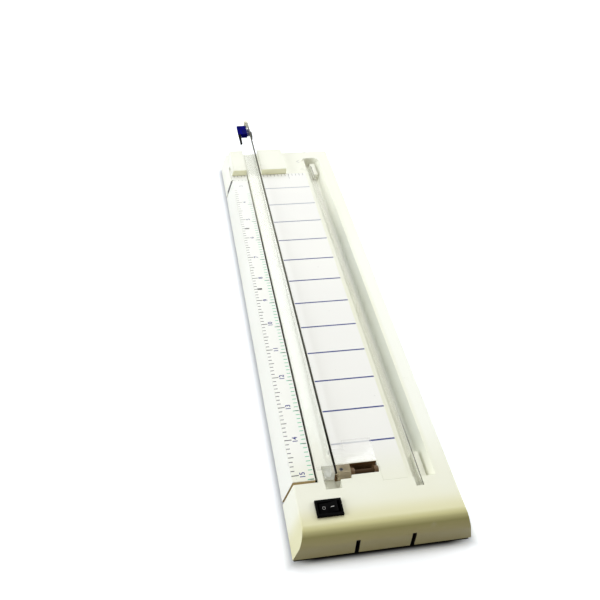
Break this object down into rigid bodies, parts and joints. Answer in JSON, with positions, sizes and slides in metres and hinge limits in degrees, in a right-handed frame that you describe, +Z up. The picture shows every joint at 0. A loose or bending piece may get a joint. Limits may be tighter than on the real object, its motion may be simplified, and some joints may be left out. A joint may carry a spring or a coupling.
{
  "type": "sliding paper trimmer",
  "caption": "Paper trimmer with a hinged clear rail, a blade slider on it, a swing-out ruler arm, an end fence and a lit sighting groove worked by a rocker switch.",
  "frame": {"origin": "on the table, under the middle of the trimmer's bounding box", "axes": "+X to the user's right, +Y away from the user along the cut, +Z up"},
  "size_m": [0.101, 0.452, 0.0289],
  "materials": {
    "cream": "satin",
    "white": "satin",
    "grey": "matt",
    "sheet": "printed, semi-gloss",
    "clear": "clear plastic",
    "beige": "satin",
    "navy": "gloss",
    "black": "satin",
    "brown": "matt",
    "steel": "brushed",
    "dark_steel": "satin",
    "brass": "bright",
    "rubber": "matt",
    "board": "satin",
    "lamp": "diffused",
    "cell": "gloss",
    "wire": "satin"
  },
  "bodies": {
    "base": {"base_shell": "cream", "bottom_cover": "grey", "cover_screws": "steel", "rubber_feet": "rubber", "bed_label": "sheet", "cutting_strip": "black", "fence_left": "cream", "fence_right": "cream", "fence_screws": "steel", "arm_pivot_pin": "steel", "hinge_cradle": "brown", "light_bar": "clear", "bar_holder_near": "beige", "bar_holder_far": "beige", "led_board": "board", "led": "lamp", "switch_housing": "black", "switch_terminals": "brass", "battery_holder": "black", "battery_cells": "cell", "battery_contacts": "steel", "wiring_loom": "wire"},
    "rail": {"rail": "clear", "rail_edge_strip": "dark_steel", "rail_end_cap": "beige", "hinge_leaf": "clear", "hinge_pin": "dark_steel", "hinge_screw": "dark_steel"},
    "carriage": {"carriage_body": "navy", "blade_holder": "black", "blade": "steel", "carriage_clip": "dark_steel", "clip_screws": "dark_steel"},
    "arm": {"ruler_arm": "white", "ruler_label": "sheet", "arm_glide": "rubber"},
    "rocker": {"switch_rocker": "black"},
    "battery_door": {"battery_door": "grey"}
  },
  "joints": [
    {"name": "rail_lift", "type": "hinge", "parent": "base", "child": "rail", "pos_m": [-0.015, -0.1857, 0.0187], "axis": [1, 0, 0], "range_deg": [0, 80]},
    {"name": "carriage_slide", "type": "slide", "parent": "rail", "child": "carriage", "axis": [0, -1, 0], "range_m": [0, 0.36]},
    {"name": "arm_swing", "type": "hinge", "parent": "base", "child": "arm", "pos_m": [-0.03871, 0.1465, 0.01885], "axis": [0, 0, -1], "range_deg": [0, 90]},
    {"name": "switch_rock", "type": "hinge", "parent": "base", "child": "rocker", "pos_m": [-0.02845, -0.2086, 0.0193], "axis": [0, 1, 0], "range_deg": [0, 16]},
    {"name": "battery_door_slide", "type": "slide", "parent": "base", "child": "battery_door", "axis": [0, 1, 0], "range_m": [0, 0.058]}
  ]
}
